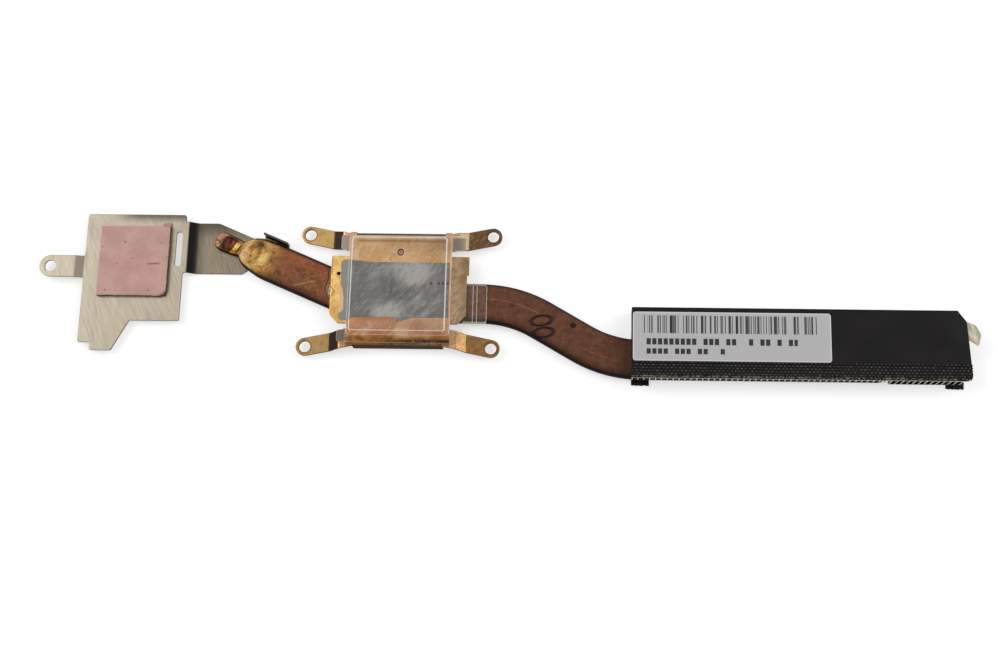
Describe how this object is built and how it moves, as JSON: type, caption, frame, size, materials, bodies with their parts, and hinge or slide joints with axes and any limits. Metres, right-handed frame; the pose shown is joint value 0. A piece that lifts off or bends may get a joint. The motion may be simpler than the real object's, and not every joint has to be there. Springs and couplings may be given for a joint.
{
  "type": "laptop thermal module",
  "caption": "Laptop cooling module with a flattened copper heat pipe, a sprung processor plate under a clear cover, a padded steel bracket and a stack of thin fins.",
  "frame": {"origin": "centre of the four screw holes of the spring plate, on the upper face of its arms", "axes": "+Z out of the chip side, up as the module lies; +X along the module towards the fins; +Y towards the outlet side of the fins"},
  "size_m": [0.1985, 0.0358, 0.0052],
  "materials": {
    "copper_pipe": "flattened copper tube, brown with heat and handling",
    "copper_alloy": "stamped copper alloy, golden brown",
    "grey_paste": "grey heat-conducting paste, partly glossy",
    "clear_film": "clear vacuum-formed plastic",
    "solder": "bright solder",
    "nickel_steel": "brushed plated steel sheet",
    "pink_pad": "soft pink silicone pad",
    "fin_sheet": "thin bare aluminium sheet",
    "black_film": "black plastic film",
    "label_paper": "pale grey label stock",
    "black_weave": "black woven tape",
    "cream_film": "cream translucent film"
  },
  "bodies": {
    "root": {"heat_pipe": "copper_pipe", "spring_plate": "copper_alloy", "thermal_paste": "grey_paste", "clear_cover": "clear_film", "solder_bead": "solder", "side_bracket": "nickel_steel", "bracket_pad": "pink_pad", "fins_over_pipe": "fin_sheet", "fins_beyond_pipe": "fin_sheet", "top_film": "black_film", "blank_label": "label_paper", "woven_tape": "black_weave", "left_foot_strip": "black_weave", "right_foot_strip": "black_weave", "film_flap": "cream_film"}
  },
  "joints": []
}
